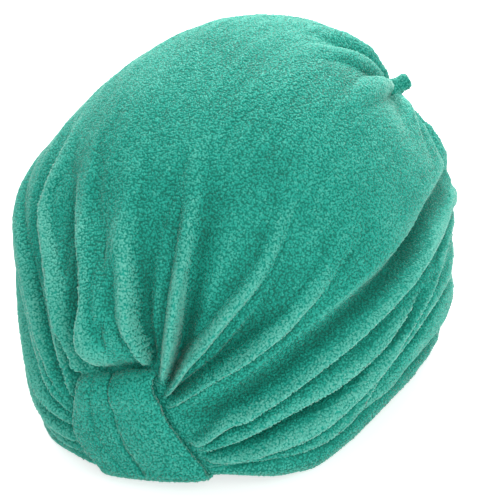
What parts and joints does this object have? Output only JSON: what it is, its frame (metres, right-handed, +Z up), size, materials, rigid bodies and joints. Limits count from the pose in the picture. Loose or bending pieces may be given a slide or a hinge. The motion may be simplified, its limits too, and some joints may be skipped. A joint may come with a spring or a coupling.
{
  "type": "hair turban towel",
  "caption": "Pleated terry cloth head turban in its worn form, with a front band, a rolled rim and a small gathered tip at the back.",
  "frame": {"origin": "centre of the head opening, level with its rim", "axes": "-Y to the front band, +X to the wearer's left, +Z up to the top of the crown"},
  "size_m": [0.2261, 0.2395, 0.1851],
  "materials": {
    "terry": "looped terry pile",
    "terry_band": "looped terry pile, two layers"
  },
  "bodies": {
    "root": {"crown": "terry", "rim_hem": "terry", "front_band": "terry_band", "gather_tip": "terry"}
  },
  "joints": []
}
